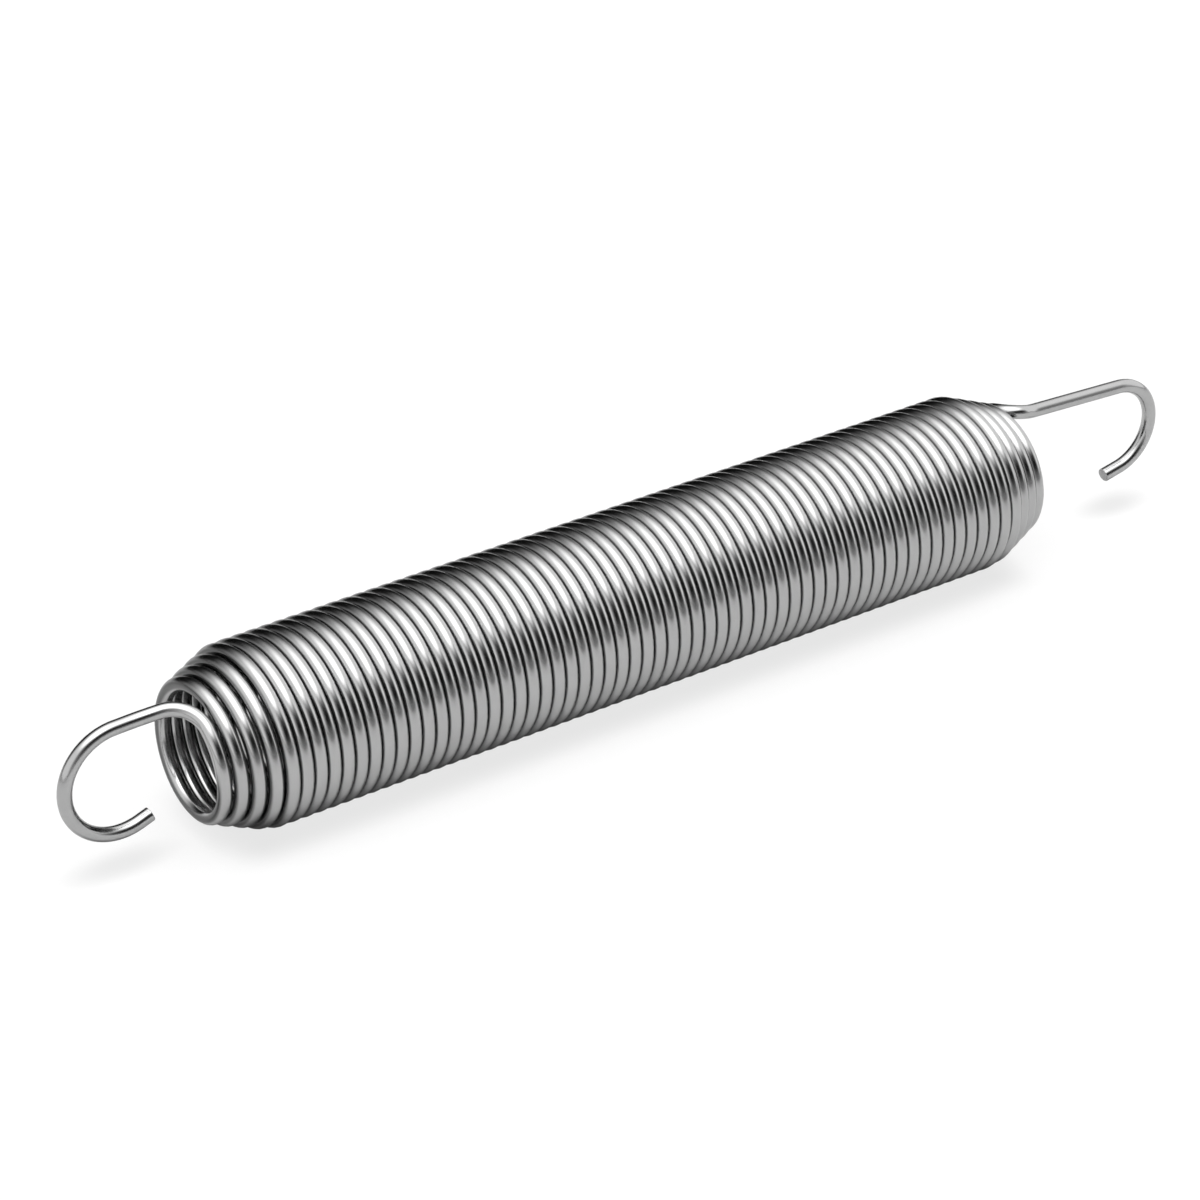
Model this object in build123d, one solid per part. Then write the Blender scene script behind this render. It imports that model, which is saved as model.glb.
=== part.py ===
from build123d import *
from math import cos, radians, sin, sqrt
from dataclasses import dataclass
import os

# A trampoline spring: one steel wire, wound close into a right-handed coil.
# The coil runs along X and lies on the ground at Z = 0. Its last turns draw in
# like a cone at each end, and then the wire leaves the coil, bends into line
# with the axis and curls into an open hook. Sizes are in millimetres.

# Wire
wire_diameter = 2.4
turn_gap = 0.04

# Coil: diameters are outside ones, over the wire
body_diameter = 30.3
end_turn_diameter = 22.7
half_turns = 131
taper_turns = 3.75


@dataclass
class Hook:
    """One hook: side is -1 for the end at low X and +1 for the end at high X."""

    side: int
    leave_angle: float      # how far the wire still follows the end turn, in degrees
    bend_run: float         # along X, from the end turn to the start of the shank
    bend_balance: float     # how much longer the bend's first arc reaches than its second
    shank_length: float
    shank_rise: float       # slope of the shank, up towards the coil, in degrees
    eye_diameter: float     # clear inside diameter of the loop
    wrap_angle: float       # how far round the loop goes, in degrees
    tail_length: float      # straight end of the wire


short_hook = Hook(
    side=-1,
    leave_angle=50,
    bend_run=10.9,
    bend_balance=1.8,
    shank_length=2.0,
    shank_rise=1.9,
    eye_diameter=16.2,
    wrap_angle=198,
    tail_length=2.1,
)
long_hook = Hook(
    side=1,
    leave_angle=74,
    bend_run=6.7,
    bend_balance=3.2,
    shank_length=18.5,
    shank_rise=3.3,
    eye_diameter=13.8,
    wrap_angle=165,
    tail_length=3.3,
)

# Centre line
pitch = wire_diameter + turn_gap
body_radius = (body_diameter - wire_diameter) / 2
end_radius = (end_turn_diameter - wire_diameter) / 2
coil_length = pitch * half_turns / 2


def turn_radius(half_turn):
    """Radius of the centre line where it crosses the level of the axis."""
    turns_from_end = min(half_turn, half_turns - half_turn) / 2
    share = min(turns_from_end / taper_turns, 1)
    return end_radius + (body_radius - end_radius) * share


def crossing(half_turn):
    """Point where the wire crosses the level of the axis, at the front and back by turns."""
    front_or_back = -1 if half_turn % 2 == 0 else 1
    return Vector(pitch * half_turn / 2 - coil_length / 2, front_or_back * turn_radius(half_turn), 0)


def coil_edges():
    """Half circles, under and over by turns. Each meets the next upright, with no kink."""
    edges = []
    for half_turn in range(half_turns):
        start, end = crossing(half_turn), crossing(half_turn + 1)
        under_or_over = -1 if half_turn % 2 == 0 else 1
        top = (start + end) / 2 + Vector(0, 0, under_or_over * (end - start).length / 2)
        edges.append(ThreePointArc(start, top, end))
    return edges


def two_arc_joint(start, start_direction, end, end_direction, balance):
    """Point where two arcs meet that lead smoothly from one direction into another."""
    chord = end - start
    a = 2 * balance * (start_direction.dot(end_direction) - 1)
    b = -2 * (balance * chord.dot(start_direction) + chord.dot(end_direction))
    reach = (-b - sqrt(b * b - 4 * a * chord.dot(chord))) / (2 * a)
    near = start + start_direction * balance * reach
    far = end - end_direction * reach
    return (near + far * balance) / (1 + balance)


def hook_edges(hook):
    """The wire from the end of the coil to the tip of the hook."""
    up = Vector(0, 0, 1)
    out = Vector(hook.side, 0, 0)

    # the end turn goes on for a while, as the coil would
    turn_start = crossing(0 if hook.side < 0 else half_turns)
    turn_centre = Vector(turn_start.X + hook.side * pitch / 4, 0, 0)
    spoke = turn_start - turn_centre

    def on_end_turn(angle):
        return turn_centre + spoke * cos(angle) + up * spoke.length * sin(angle)

    leave = radians(hook.leave_angle)
    turn_end = on_end_turn(leave)
    edges = [ThreePointArc(turn_start, on_end_turn(leave / 2), turn_end)]
    leave_direction = up * cos(leave) - spoke.normalized() * sin(leave)

    # the shank starts at the level where it runs into the loop round the axis
    rise = radians(hook.shank_rise)
    loop_radius = (hook.eye_diameter + wire_diameter) / 2
    shank_direction = out * cos(rise) - up * sin(rise)
    shank_normal = up * cos(rise) + out * sin(rise)
    shank_start = Vector(
        turn_start.X + hook.side * hook.bend_run,
        0,
        loop_radius * cos(rise) + hook.shank_length * sin(rise),
    )
    shank_end = shank_start + shank_direction * hook.shank_length

    # two arcs bend the wire from the turn into the shank
    joint = two_arc_joint(turn_end, leave_direction, shank_start, shank_direction, hook.bend_balance)
    first_bend = TangentArc(turn_end, joint, tangent=leave_direction)
    second_bend = TangentArc(joint, shank_start, tangent=first_bend % 1)
    edges += [first_bend, second_bend, Line(shank_start, shank_end)]

    # the loop goes over the axis, round the far side and back under it
    loop_centre = shank_end - shank_normal * loop_radius

    def on_loop(angle):
        return loop_centre + (shank_normal * cos(angle) + shank_direction * sin(angle)) * loop_radius

    wrap = radians(hook.wrap_angle)
    loop_end = on_loop(wrap)
    tail_direction = shank_direction * cos(wrap) - shank_normal * sin(wrap)
    edges.append(ThreePointArc(shank_end, on_loop(wrap / 2), loop_end))
    edges.append(Line(loop_end, loop_end + tail_direction * hook.tail_length))
    return edges


def spring():
    """The whole wire, swept in one go from tip to tip."""
    short_end = hook_edges(short_hook)
    long_end = hook_edges(long_hook)
    centre_line = Wire(short_end[::-1] + coil_edges() + long_end)
    tip_plane = Plane(origin=centre_line @ 0, z_dir=centre_line % 0)
    wire = sweep(tip_plane * Circle(wire_diameter / 2), path=centre_line)

    # the middle of its length is over the origin, and its lowest turn is on the ground
    box = wire.bounding_box()
    return Pos(-box.center().X, 0, -box.min.Z) * wire


os.makedirs("parts", exist_ok=True)
export_step(spring(), "parts/spring.step")
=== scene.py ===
# %% [markdown]
# # A trampoline spring
# The real thing is a single steel wire. A machine winds it close into a coil, draws the
# last turns in like a cone, and bends what is left into a hook at each end. Here it is
# made in the same order: one ring, the section of the wire, is wound into the coil, and
# two more rings are led round the hooks.

# %% Load the frame
import bpy
from math import cos, pi, radians, sin, sqrt
from mathutils import Matrix, Vector


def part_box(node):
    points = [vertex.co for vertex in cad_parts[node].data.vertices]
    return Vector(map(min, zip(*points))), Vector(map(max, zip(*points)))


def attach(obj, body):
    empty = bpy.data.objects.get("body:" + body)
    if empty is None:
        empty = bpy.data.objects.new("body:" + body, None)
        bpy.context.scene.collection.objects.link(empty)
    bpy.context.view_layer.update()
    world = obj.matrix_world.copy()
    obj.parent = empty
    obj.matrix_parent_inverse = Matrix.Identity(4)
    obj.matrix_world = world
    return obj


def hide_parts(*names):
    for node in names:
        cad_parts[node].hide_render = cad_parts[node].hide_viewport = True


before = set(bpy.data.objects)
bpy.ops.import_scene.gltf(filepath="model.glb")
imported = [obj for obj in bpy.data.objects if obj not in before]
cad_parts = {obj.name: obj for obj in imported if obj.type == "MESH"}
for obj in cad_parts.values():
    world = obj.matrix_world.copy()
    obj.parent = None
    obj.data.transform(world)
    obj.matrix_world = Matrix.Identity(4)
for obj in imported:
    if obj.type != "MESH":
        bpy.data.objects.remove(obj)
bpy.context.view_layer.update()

# %% [markdown]
# ## Sizes
# Blender counts in metres and a spring maker in millimetres, so each size is written in
# millimetres and changed over once. The frame gives the place: the ends of the box are
# the outermost points of the two hooks.

# %% Sizes of the wire and the coil
MM = 0.001

wire_radius = 2.4 * MM / 2
turn_gap = 0.04 * MM
body_radius = 30.3 * MM / 2 - wire_radius
end_radius = 22.7 * MM / 2 - wire_radius
turns = 65.5
taper_turns = 3.75
pitch = 2 * wire_radius + turn_gap
coil_length = pitch * turns
print("The coil is %.1f mm long." % (coil_length / MM))

# %% Sizes of the hooks
# side is -1 at low X and +1 at high X. Angles are in degrees.
short_hook = {
    "side": -1,
    "leave_angle": 50,
    "bend_run": 10.9 * MM,
    "bend_balance": 1.8,
    "shank_length": 2.0 * MM,
    "shank_rise": 1.9,
    "eye_radius": 16.2 * MM / 2,
    "wrap_angle": 198,
    "tail_length": 2.1 * MM,
}
long_hook = {
    "side": 1,
    "leave_angle": 74,
    "bend_run": 6.7 * MM,
    "bend_balance": 3.2,
    "shank_length": 18.5 * MM,
    "shank_rise": 3.3,
    "eye_radius": 13.8 * MM / 2,
    "wrap_angle": 165,
    "tail_length": 3.3 * MM,
}


def reach(hook):
    """How far the hook stands out past the last full turn, along X."""
    rise = radians(hook["shank_rise"])
    loop_radius = hook["eye_radius"] + wire_radius
    shank = hook["shank_length"] * cos(rise)
    return hook["bend_run"] + shank + loop_radius * (1 - sin(rise)) + wire_radius


# %% Where the spring lies
lowest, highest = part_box("spring")
axis_height = (lowest[2] + highest[2]) / 2
coil_start = lowest[0] + reach(short_hook)
coil_end = coil_start + coil_length
print("The coil runs from %.2f to %.2f mm." % (coil_start / MM, coil_end / MM))
print("The long hook ends %.3f mm from the box's end."
      % ((highest[0] - coil_end - reach(long_hook)) / MM))

# %% [markdown]
# ## The coil
# A close coil could be drawn as a curve with a round bevel, or as a stack of rings. The
# Screw modifier does what the winding machine does: it carries a ring of points round
# an axis and on along it, so that 65 turns come from one circle in one step.

# %% Helpers for selecting and for rings
RING_POINTS = 22
RINGS_PER_TURN = 60


def only(piece):
    """Selects this piece and nothing else."""
    bpy.ops.object.select_all(action="DESELECT")
    piece.select_set(True)
    bpy.context.view_layer.objects.active = piece


def add_ring(name, place):
    """A level ring of points as thick as the wire."""
    bpy.ops.object.select_all(action="DESELECT")
    bpy.ops.mesh.primitive_circle_add(vertices=RING_POINTS, radius=wire_radius, location=place)
    ring = bpy.context.object
    ring.name = name
    return ring


# %% Wind the coil
coil = add_ring("spring_wire", (coil_start, 0, axis_height))
bpy.ops.object.mode_set(mode="EDIT")
bpy.ops.mesh.select_all(action="SELECT")
bpy.ops.transform.translate(value=(0, -body_radius, 0))
bpy.ops.object.mode_set(mode="OBJECT")

winding = coil.modifiers.new("Winding", "SCREW")
winding.axis = "X"
winding.angle = 2 * pi * turns
winding.screw_offset = coil_length
winding.iterations = 1
winding.steps = winding.render_steps = round(turns * RINGS_PER_TURN)
bpy.ops.object.modifier_apply(modifier="Winding")
bpy.ops.object.transform_apply(location=True, rotation=False, scale=False)
print("The coil has", len(coil.data.vertices) // RING_POINTS, "rings.")

# %% [markdown]
# The end turns are drawn in so that the pull runs through the middle of the coil. Each
# ring there moves straight in towards the axis, the further the nearer it is to the end.
#
# The turns of a close coil touch, and no light comes through between them. The solid keeps
# them a hair apart, and a ring of points is a little flat where it faces its neighbour. So
# here each ring is widened along the axis by most of the solid's gap, which more than
# halves what is left between the turns. The last rings stay round, because the hooks join
# on there.

# %% Draw in the end turns and narrow the gaps
SHUT = 0.9
widening = SHUT * turn_gap / (2 * wire_radius)

for point in coil.data.vertices:
    turn = (point.index // RING_POINTS) / RINGS_PER_TURN
    turns_from_end = min(turn, turns - turn)
    drawn_in = (body_radius - end_radius) * max(0, 1 - turns_from_end / taper_turns)
    angle = 2 * pi * turn
    point.co += Vector((0, cos(angle), sin(angle))) * drawn_in
    flank = point.co.x - coil_start - pitch * turn
    point.co.x += flank * widening * min(1, turns_from_end)
turn_width = 2 * wire_radius * cos(pi / RING_POINTS) * (1 + widening)
print("The turns are %.3f mm apart." % ((pitch - turn_width) / MM))

# %% [markdown]
# ## The hooks
# From the last turn the wire goes on round for a while, bends into line with the axis,
# runs straight and then curls into a loop. Bends in wire are round, so each is a spin
# of the ring about a centre, and each straight run is an extrusion.

# %% Leading a ring along the wire
BEND_STEP = radians(2)
RUN_STEP = 0.5 * MM


def spin_on(centre, axis, angle, steps=None):
    """Spins the selected ring by the right-hand rule, which the operator counts backwards."""
    steps = steps or max(2, round(angle / BEND_STEP))
    bpy.ops.mesh.spin(steps=steps, angle=-angle, center=centre, axis=axis)


def bend_to(place, heading, goal):
    """Leads the ring along the one arc that leaves along heading and ends at goal."""
    chord = goal - place
    axis = heading.cross(chord).normalized()
    inwards = axis.cross(heading)
    radius = chord.length_squared / (2 * chord.dot(inwards))
    angle = 2 * heading.angle(chord)
    spin_on(place + inwards * radius, axis, angle)
    return Matrix.Rotation(angle, 3, axis) @ heading


def run_on(way):
    """Leads the ring straight on, in short steps, so that its shading stays straight too."""
    steps = max(2, round(way.length / RUN_STEP))
    for _ in range(steps):
        bpy.ops.mesh.extrude_region_move(TRANSFORM_OT_translate={"value": way / steps})


def two_arc_joint(start, start_heading, end, end_heading, balance):
    """Point where two arcs meet that lead smoothly from one heading into another."""
    chord = end - start
    a = 2 * balance * (start_heading.dot(end_heading) - 1)
    b = -2 * (balance * chord.dot(start_heading) + chord.dot(end_heading))
    reach_back = (-b - sqrt(b * b - 4 * a * chord.length_squared)) / (2 * a)
    near = start + start_heading * balance * reach_back
    far = end - end_heading * reach_back
    return (near + far * balance) / (1 + balance)


# %% Bend a hook
def add_hook(name, hook):
    """The wire from the end of the coil to the tip of the hook, still open at both ends."""
    side = hook["side"]
    out = Vector((side, 0, 0))
    up = Vector((0, 0, 1))
    last_turn = Vector((coil_start if side < 0 else coil_end, 0, axis_height))
    spoke = Vector((0, side, 0))

    piece = add_ring(name, last_turn + spoke * end_radius)
    bpy.ops.object.transform_apply(location=True, rotation=False, scale=False)
    bpy.ops.object.mode_set(mode="EDIT")
    bpy.ops.mesh.select_all(action="SELECT")

    # a little further round the end turn, and on along the axis as the coil does
    leave = radians(hook["leave_angle"])
    steps = round(leave / (2 * pi) * RINGS_PER_TURN)
    advance = out * pitch * leave / (2 * pi)
    for _ in range(steps):
        spin_on(last_turn, out, leave / steps, steps=1)
        bpy.ops.transform.translate(value=advance / steps)
    place = last_turn + advance + (spoke * cos(leave) + up * sin(leave)) * end_radius
    round_the_turn = (up * cos(leave) - spoke * sin(leave)) * end_radius
    heading = (round_the_turn + out * pitch / (2 * pi)).normalized()

    # two bends into the shank
    rise = radians(hook["shank_rise"])
    loop_radius = hook["eye_radius"] + wire_radius
    shank_heading = out * cos(rise) - up * sin(rise)
    shank_normal = up * cos(rise) + out * sin(rise)
    level = loop_radius * cos(rise) + hook["shank_length"] * sin(rise)
    shank_start = last_turn + out * hook["bend_run"] + up * level
    joint = two_arc_joint(place, heading, shank_start, shank_heading, hook["bend_balance"])
    heading = bend_to(place, heading, joint)
    bend_to(joint, heading, shank_start)

    # the shank, the loop round its own centre, and the straight tail
    run_on(shank_heading * hook["shank_length"])
    shank_end = shank_start + shank_heading * hook["shank_length"]
    wrap = radians(hook["wrap_angle"])
    spin_on(shank_end - shank_normal * loop_radius, (0, side, 0), wrap)
    run_on((shank_heading * cos(wrap) - shank_normal * sin(wrap)) * hook["tail_length"])
    bpy.ops.object.mode_set(mode="OBJECT")
    print(name, "has", len(piece.data.vertices) // RING_POINTS, "rings.")
    return piece


short_end = add_hook("short_end", short_hook)
long_end = add_hook("long_end", long_hook)

# %% [markdown]
# ## One wire
# The finish runs along the wire, so each point is told where it is: how far along the
# wire, counted from the start of the coil, and on which side of it. Object coordinates
# can't say that, because they run straight through the coil.

# %% Tell each point its place along the wire
def mark_along(piece, start, direction, turned):
    """Stores (distance along the wire, and two across it), and returns the last distance."""
    points = piece.data.vertices
    place = piece.data.attributes.new("along_wire", "FLOAT_VECTOR", "POINT")
    distance = start
    before = None
    for first in range(0, len(points), RING_POINTS):
        ring = [points[first + i].co for i in range(RING_POINTS)]
        centre = sum(ring, Vector()) / RING_POINTS
        if before is not None:
            distance += direction * (centre - before).length
        before = centre
        for i in range(RING_POINTS):
            angle = turned * 2 * pi * i / RING_POINTS
            across = Vector((cos(angle), sin(angle))) * wire_radius
            place.data[first + i].vector = (distance, across.x, across.y)
    return distance


short_tip = mark_along(short_end, 0, -1, 1)
coil_stop = mark_along(coil, 0, 1, 1)
long_tip = mark_along(long_end, coil_stop, 1, -1)
print("The wire is %.2f m long." % (long_tip - short_tip))

# %% [markdown]
# The ends are cut square by a cropping tool, which leaves a flat face with a slightly
# broken rim.

# %% Cut the ends square
RIM = 0.1 * MM


def close_tip(piece):
    """Fills the last ring, which is still selected, breaks its rim and marks the face."""
    only(piece)
    bpy.ops.object.mode_set(mode="EDIT")
    bpy.ops.mesh.edge_face_add()
    bpy.ops.mesh.bevel(offset=RIM, offset_type="OFFSET", segments=2, affect="EDGES")
    bpy.ops.object.mode_set(mode="OBJECT")
    marks = piece.data.attributes.new("cut_face", "FLOAT", "POINT")
    face = max(piece.data.polygons, key=lambda polygon: len(polygon.vertices))
    for index in face.vertices:
        marks.data[index].value = 1.0
    print("The cut face of", piece.name, "has", len(face.vertices), "corners.")


close_tip(short_end)
close_tip(long_end)

# %% Join the pieces into one wire
SAME_POINT = 0.002 * MM
SOFT_EDGE = radians(35)

only(coil)
short_end.select_set(True)
long_end.select_set(True)
apart = sum(len(piece.data.vertices) for piece in (coil, short_end, long_end))
bpy.ops.object.join()
bpy.ops.object.mode_set(mode="EDIT")
bpy.ops.mesh.select_all(action="SELECT")
bpy.ops.mesh.remove_doubles(threshold=SAME_POINT)
bpy.ops.mesh.normals_make_consistent(inside=False)
bpy.ops.object.mode_set(mode="OBJECT")
bpy.ops.object.shade_smooth_by_angle(angle=SOFT_EDGE)
spring = coil
spring.name = "spring_wire"
merged = apart - len(spring.data.vertices)
print("Merged", merged, "points, which is two rings:", 2 * RING_POINTS)
print("Faces:", len(spring.data.polygons))

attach(spring, "root")
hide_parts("spring")

# %% [markdown]
# ## Shader maths
# A material is a small calculation at each point of the surface. Written as Python
# expressions it stays readable: the class below turns +, -, *, / and ** into Math nodes.


# %% A socket that can be calculated with
class Value:
    """One output socket of a node tree."""

    def __init__(self, tree, socket):
        self.tree = tree
        self.socket = socket

    def other(self, output):
        """Another output of the same node, by its name or number."""
        return Value(self.tree, self.socket.node.outputs[output])

    def math(self, operation, *others):
        inputs = dict(enumerate((self, *others)))
        return make_node(self.tree, "Math", {"operation": operation}, inputs)

    def __add__(self, other):
        return self.math("ADD", other)

    def __sub__(self, other):
        return self.math("SUBTRACT", other)

    def __rsub__(self, other):
        return (self * -1) + other

    def __mul__(self, other):
        return self.math("MULTIPLY", other)

    def __truediv__(self, other):
        return self.math("DIVIDE", other)

    def __rtruediv__(self, other):
        return (self ** -1) * other

    def __pow__(self, other):
        return self.math("POWER", other)

    __radd__ = __add__
    __rmul__ = __mul__


def make_node(tree, kind, settings=None, inputs=None, output=0):
    """Adds a node, sets it up, feeds its inputs and returns one of its outputs.

    An input is a link or a plain value, and goes by its name or its number.
    """
    node = tree.nodes.new("ShaderNode" + kind)
    for name, setting in (settings or {}).items():
        setattr(node, name, setting)
    for key, item in (inputs or {}).items():
        if isinstance(item, Value):
            tree.links.new(item.socket, node.inputs[key])
        else:
            node.inputs[key].default_value = item
    return Value(tree, node.outputs[output]) if node.outputs else None


def soft_step(value, low, high):
    """0 below low, 1 above high, and smooth in between."""
    return make_node(value.tree, "MapRange", {"interpolation_type": "SMOOTHSTEP"},
                     {"Value": value, "From Min": low, "From Max": high})


def mix_colours(share, first, second):
    """Runs from the first colour to the second as share goes from 0 to 1."""
    return make_node(share.tree, "Mix", {"data_type": "RGBA"},
                     {0: share, 6: first, 7: second}, output=2)


def separate(vector):
    """The three numbers of a vector."""
    number = make_node(vector.tree, "SeparateXYZ", inputs={"Vector": vector})
    return [number.other(i) for i in range(3)]


def new_material(name):
    """An empty material and its node tree."""
    material = bpy.data.materials.new(name)
    material.use_nodes = True
    material.node_tree.nodes.clear()
    return material, material.node_tree


# %% [markdown]
# ## Bright drawn steel
# Spring wire is pulled through a die and then plated with zinc. It is bright and smooth.
# The die leaves faint lines along it, and the plating is a little cloudy. Between the
# turns the colour is painted dark, as painted shade that stands for the shadow deep in the
# grooves. The cut faces of the tips are bare grey steel with the marks of the cropping tool.

# %% Colours and depths of the finish
STEEL = (0.56, 0.56, 0.56, 1)
CLOUDED = (0.54, 0.54, 0.54, 1)
# painted shade: the dark colour the grooves between the turns are painted with
GROOVE_SHADE_COLOUR = (0.17, 0.17, 0.17, 1)
BARE = (0.50, 0.50, 0.50, 1)
# where the painted groove shade starts and is full, as shares of the way round the wire
# towards the next turn
GROOVE_SHADE_SPREAD = (0.72, 0.96)
GROOVE_START = 4 * MM
SMOOTHNESS = 0.18
CUT_SMOOTHNESS = 0.42
LINE_DEPTH = 0.0008 * MM
CUT_DEPTH = 0.004 * MM

# how many waves each pattern has to the metre, along the wire and in the two ways across
LINE_WAVES = (40, 2500, 2500)
CLOUD_WAVES = (300, 500, 500)
CROPPING_WAVES = (0, 6000, 900)
NOISE_DETAIL = 2.0
CLOUD_EDGE = (0.35, 0.65)

# how much the lines and the clouds change the smoothness
LINES_SHOW = 0.02
CLOUDS_SHOW = 0.03


# %% Patterns that follow the wire
def pattern(place, waves):
    """Noise with so many waves to the metre in each direction."""
    stretched = make_node(place.tree, "VectorMath", {"operation": "MULTIPLY"},
                          {0: place, 1: waves})
    return make_node(place.tree, "TexNoise", {"noise_dimensions": "3D"},
                     {"Vector": stretched, "Scale": 1.0, "Detail": NOISE_DETAIL})


def stored(tree, name, output):
    """A value that was stored on the points of the mesh."""
    settings = {"attribute_name": name, "attribute_type": "GEOMETRY"}
    return make_node(tree, "Attribute", settings, output=output)


bright_steel, tree = new_material("bright_steel")
place = stored(tree, "along_wire", "Vector")
cut = stored(tree, "cut_face", "Fac")
die_lines = pattern(place, LINE_WAVES)
clouds = pattern(place, CLOUD_WAVES)
cropping_marks = pattern(place, CROPPING_WAVES)

# %% Colour, roughness and relief
along, _, to_neighbour = separate(place)
# the painted groove shade lies only along the coil and fades out at its two ends
in_coil = soft_step(along, -GROOVE_START, GROOVE_START)
in_coil *= 1 - soft_step(along, coil_stop - GROOVE_START, coil_stop + GROOVE_START)
groove_shade = soft_step((to_neighbour / wire_radius).math("ABSOLUTE"), *GROOVE_SHADE_SPREAD) * in_coil
colour = mix_colours(soft_step(clouds, *CLOUD_EDGE), STEEL, CLOUDED)
# painted shade: the colour is darkened on the sides of each turn that face the next
colour = mix_colours(groove_shade, colour, GROOVE_SHADE_COLOUR)
colour = mix_colours(cut, colour, BARE)

drawn = SMOOTHNESS + LINES_SHOW * (die_lines - 0.5) + CLOUDS_SHOW * (clouds - 0.5)
roughness = drawn + (CUT_SMOOTHNESS - drawn) * cut
relief = LINE_DEPTH * die_lines * (1 - cut) + CUT_DEPTH * cropping_marks * cut
bumps = make_node(tree, "Bump", inputs={"Height": relief, "Strength": 1.0, "Distance": 1.0})
surface = make_node(tree, "BsdfPrincipled", inputs={
    "Metallic": 1.0,
    "Base Color": colour,
    "Roughness": roughness,
    "Normal": bumps,
})
make_node(tree, "OutputMaterial", inputs={"Surface": surface})
spring.data.materials.clear()
spring.data.materials.append(bright_steel)
print("The finish has", len(tree.nodes), "nodes.")

# %% [markdown]
# ## The studio
# Bright metal shows nothing but its surroundings, so the studio is most of its look. Pale
# walls on all sides and a large soft lamp overhead are painted on the world, where only
# direction counts. The lamp is a rectangle hung level above the spring, a little to the
# front and left. Its edges are soft, as they are behind a cloth diffuser.

# %% Walls and lamp on the world
WHITE = (1, 1, 1, 1)
BLACK = (0, 0, 0, 1)
LEFT_WALL = 0.96
RIGHT_WALL = 1.03
WALL_CHANGE = (-0.5, 0.5)

# the lamp's edges lie that far out for each metre of height
LAMP = 3.39
LAMP_ACROSS = (-0.57, 0.42)
LAMP_DEEP = (-0.80, 0.25)
LAMP_EDGE = 0.56
LEAST_HEIGHT = 0.001


def soft_band(value, low, high, edge):
    """1 between low and high, 0 outside, with edges that are soft for that far each way."""
    past_low = soft_step(value, low - edge, low + edge)
    past_high = soft_step(value, high - edge, high + edge)
    return past_low * (1 - past_high)


def lamp_share(x, y, height):
    """How much of what is seen that way from the spring is lamp."""
    height = height.math("MAXIMUM", LEAST_HEIGHT)
    across = soft_band(x / height, *LAMP_ACROSS, LAMP_EDGE)
    return across * soft_band(y / height, *LAMP_DEEP, LAMP_EDGE)


world = bpy.data.worlds.new("studio")
bpy.context.scene.world = world
world.use_nodes = True
sky = world.node_tree
sky.nodes.clear()

x, y, z = separate(make_node(sky, "TexCoord", output="Generated"))
lamp = lamp_share(x, y, z)
walls = LEFT_WALL + (RIGHT_WALL - LEFT_WALL) * soft_step(x, *WALL_CHANGE)
brightness = walls * (1 - lamp) + LAMP * lamp
background = make_node(sky, "Background", inputs={"Color": WHITE, "Strength": brightness})
make_node(sky, "OutputWorld", inputs={"Surface": background})
print("The lamp is", round(LAMP / RIGHT_WALL, 1), "times as bright as the walls.")

# %% [markdown]
# In pale surroundings alone, polished wire would vanish against the pale floor. So a
# photographer hangs black curtains before and behind it, out of the picture, and they
# draw the dark bands along the coil. Each is a plane that thins out towards its edges,
# and leaves the lamp free, which hangs in front of it.

# %% Hang the curtains
CURTAIN_DISTANCE = 3.0
CURTAIN_SIZE = 12.0


def hang_curtain(name, facing, left, right, bottom, top):
    """A black curtain at the front (-1) or back (1).

    Each edge says where the cloth starts and ends to thin out, in shares of its distance.
    """
    bpy.ops.object.select_all(action="DESELECT")
    bpy.ops.mesh.primitive_plane_add(
        size=CURTAIN_SIZE,
        location=(0, facing * CURTAIN_DISTANCE, CURTAIN_SIZE / 2),
        rotation=(pi / 2, 0, 0),
    )
    curtain = bpy.context.object
    curtain.name = name
    bpy.ops.object.transform_apply(location=True, rotation=True, scale=False)

    cloth, tree = new_material(name)
    place = separate(make_node(tree, "TexCoord", output="Object"))
    across, _, up = (number / CURTAIN_DISTANCE for number in place)
    thick = soft_step(across, *left) * (1 - soft_step(across, *right))
    thick *= soft_step(up, *bottom) * (1 - soft_step(up, *top))
    thick *= 1 - lamp_share(across, facing, up)
    black = make_node(tree, "BsdfDiffuse", inputs={"Color": BLACK})
    clear = make_node(tree, "BsdfTransparent")
    mixed = make_node(tree, "MixShader", inputs={0: thick, 1: clear, 2: black})
    make_node(tree, "OutputMaterial", inputs={"Surface": mixed})
    curtain.data.materials.append(cloth)
    curtain.visible_camera = False
    print(name, "hangs", CURTAIN_DISTANCE, "m away.")


hang_curtain("front_curtain", -1, (-1.66, -0.14), (0.52, 1.73), (-0.67, 0.39), (0.53, 2.09))
hang_curtain("back_curtain", 1, (-1.66, -0.22), (0.58, 2.02), (-1.30, 0.05), (0.42, 1.86))

# %% [markdown]
# The floor is pale grey paper. To the camera most of its shade is washed out, as a bright
# background is in a print. The metal sees the same pale floor, but keeps more of the
# shadow under the coil, which is what makes the underside dark. Soft dark paint deepens
# that shadow in a strip where the coil lies and in a spot under each hook. The paper is
# also darker behind the spring and far away, where the lamp doesn't reach.

# %% How the paper is painted
PAPER = 0.615
FAR_PAPER = 0.15
STRIP_PAPER = 0.02

# the strip reaches so far beside the coil, and starts and ends at the coil's mouths
STRIP = (7 * MM, 15 * MM)
SHORT_MOUTH = (coil_start, coil_start + 8 * MM)
LONG_MOUTH = (coil_end - 8 * MM, coil_end)

# for each hook's spot: its middle, and how far it reaches along and beside
HOOK_SPOTS = ((-98.5 * MM, 14 * MM, 5 * MM), (100 * MM, 10 * MM, 5 * MM))
HOOK_SHADE = 0.7
SPOT_EDGE = (0.1, 1)

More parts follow.
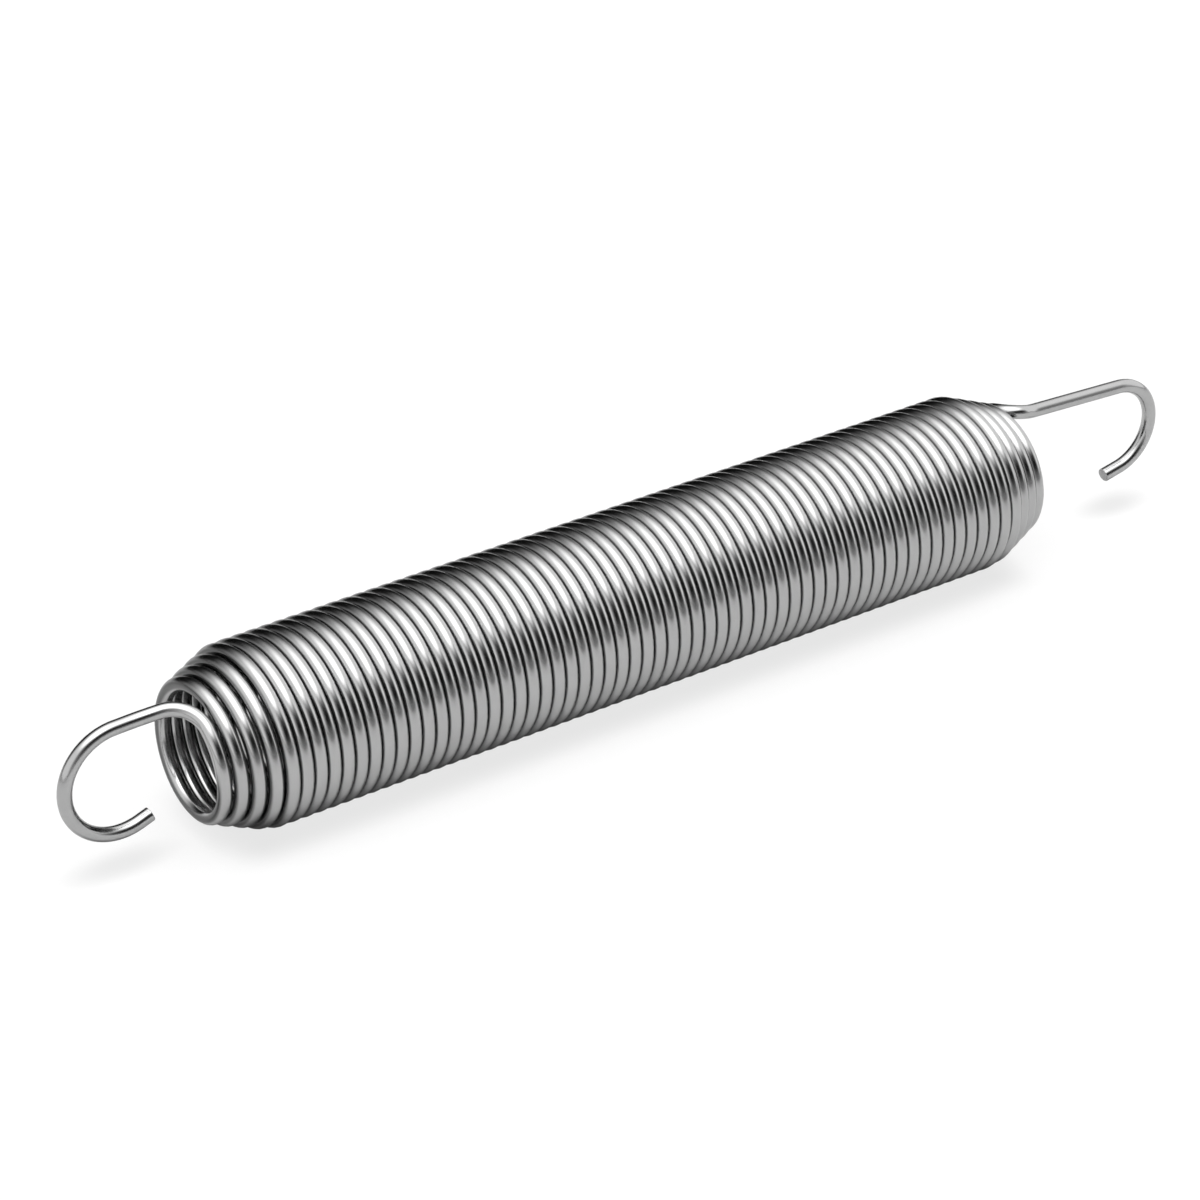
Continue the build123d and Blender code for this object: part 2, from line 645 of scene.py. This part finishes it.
# the pale patch round the spring is twice as long as it is wide
FAR = (40 * MM, 400 * MM)
PATCH_LENGTH = 2
BEHIND = (20 * MM, 120 * MM)
BEHIND_SHADE = 0.5


def off_centre(along, beside, length, width):
    """How far from the middle of an oval, where 1 is its edge."""
    return ((along / length) ** 2 + (beside / width) ** 2) ** 0.5


# %% Lay the floor
FLOOR_SIZE = 40.0

bpy.ops.object.select_all(action="DESELECT")
bpy.ops.mesh.primitive_plane_add(size=FLOOR_SIZE, location=(0, 0, 0))
floor = bpy.context.object
floor.name = "floor"

pale_floor, tree = new_material("pale_floor")
along, beside, _ = separate(make_node(tree, "TexCoord", output="Object"))
painted = soft_step(along, *SHORT_MOUTH) * (1 - soft_step(along, *LONG_MOUTH))
painted *= 1 - soft_step(beside.math("ABSOLUTE"), *STRIP)
for middle, length, width in HOOK_SPOTS:
    spot = 1 - soft_step(off_centre(along - middle, beside, length, width), *SPOT_EDGE)
    painted = painted.math("MAXIMUM", HOOK_SHADE * spot)
far = soft_step(off_centre(along, beside, PATCH_LENGTH, 1), *FAR)
far = far.math("MAXIMUM", BEHIND_SHADE * soft_step(beside, *BEHIND))
shade = PAPER + (FAR_PAPER - PAPER) * far + (STRIP_PAPER - PAPER) * painted
print("The floor is", FLOOR_SIZE, "m wide.")

# %% Wash the paper out
WASHED_OUT = 0.62
WASHED_OUT_IN_METAL = 0.05
GLOW = 1.26

grey = make_node(tree, "CombineColor", inputs={"Red": shade, "Green": shade, "Blue": shade})
paper = make_node(tree, "BsdfDiffuse", inputs={"Color": grey})
glow = make_node(tree, "Emission", inputs={"Strength": GLOW})
seen = make_node(tree, "LightPath", output="Is Camera Ray")
mirrored = seen.other("Is Glossy Ray") + seen.other("Is Transmission Ray")
washed_out = (WASHED_OUT + (1 - WASHED_OUT) * far) * seen
washed_out += WASHED_OUT_IN_METAL * mirrored
mixed = make_node(tree, "MixShader", inputs={0: washed_out, 1: paper, 2: glow})
make_node(tree, "OutputMaterial", inputs={"Surface": mixed})
floor.data.materials.append(pale_floor)

# %% [markdown]
# ## The camera
# The photo looks down on the spring at 30 degrees, from 35 degrees to the left of its
# front, through a long lens that stands well back.

# %% Place the camera
CAMERA_AZIMUTH = radians(-34.88)
CAMERA_ELEVATION = radians(30.25)
CAMERA_DISTANCE = 730.2 * MM
AIM = Vector((-8.952, 0.073, 16.947)) * MM
LENS = 136.03
SENSOR = 36.0
NEAREST = 0.01
FARTHEST = 50.0

backwards = Vector((
    sin(CAMERA_AZIMUTH) * cos(CAMERA_ELEVATION),
    -cos(CAMERA_AZIMUTH) * cos(CAMERA_ELEVATION),
    sin(CAMERA_ELEVATION),
))
lens = bpy.data.cameras.new("camera")
lens.lens = LENS
lens.sensor_width = SENSOR
lens.clip_start = NEAREST
lens.clip_end = FARTHEST
camera = bpy.data.objects.new("camera", lens)
camera.location = AIM + backwards * CAMERA_DISTANCE
camera.rotation_euler = backwards.to_track_quat("Z", "Y").to_euler()
bpy.context.collection.objects.link(camera)
bpy.context.scene.camera = camera
bpy.context.scene.view_settings.view_transform = "Standard"
print("The camera stands %.2f m away." % CAMERA_DISTANCE)
